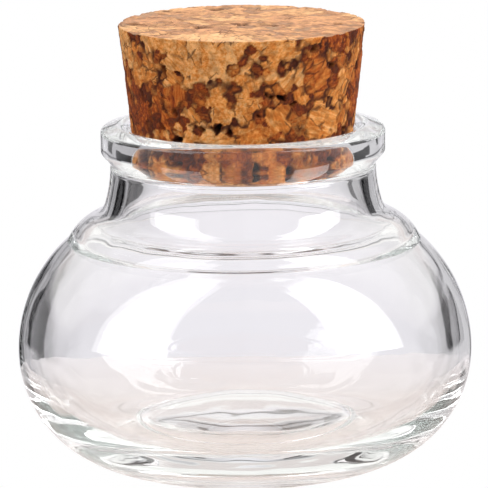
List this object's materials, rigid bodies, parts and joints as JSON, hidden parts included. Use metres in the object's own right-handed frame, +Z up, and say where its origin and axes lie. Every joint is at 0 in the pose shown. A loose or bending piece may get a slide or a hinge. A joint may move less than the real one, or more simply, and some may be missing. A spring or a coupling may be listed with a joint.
{
  "type": "glass jar with cork stopper",
  "caption": "Squat clear glass jar with a round belly, stepped shoulder and beaded mouth, closed by a tapered stopper of coarse granulated cork that pulls straight up and out.",
  "frame": {"origin": "on the jar's axis, in the plane of the ring that the jar stands on", "axes": "+Z up along the jar's axis; the jar is round, so +X and +Y have no side of their own, and the picture looks along +Y"},
  "size_m": [0.06, 0.06, 0.0586],
  "materials": {
    "clear_glass": "polished",
    "granulated_cork": "matte"
  },
  "bodies": {
    "jar": {"glass_jar": "clear_glass"},
    "stopper": {"cork_stopper": "granulated_cork"}
  },
  "joints": [
    {"name": "stopper_lift", "type": "slide", "parent": "jar", "child": "stopper", "axis": [0, 0, 1], "range_m": [0, 0.045]}
  ]
}
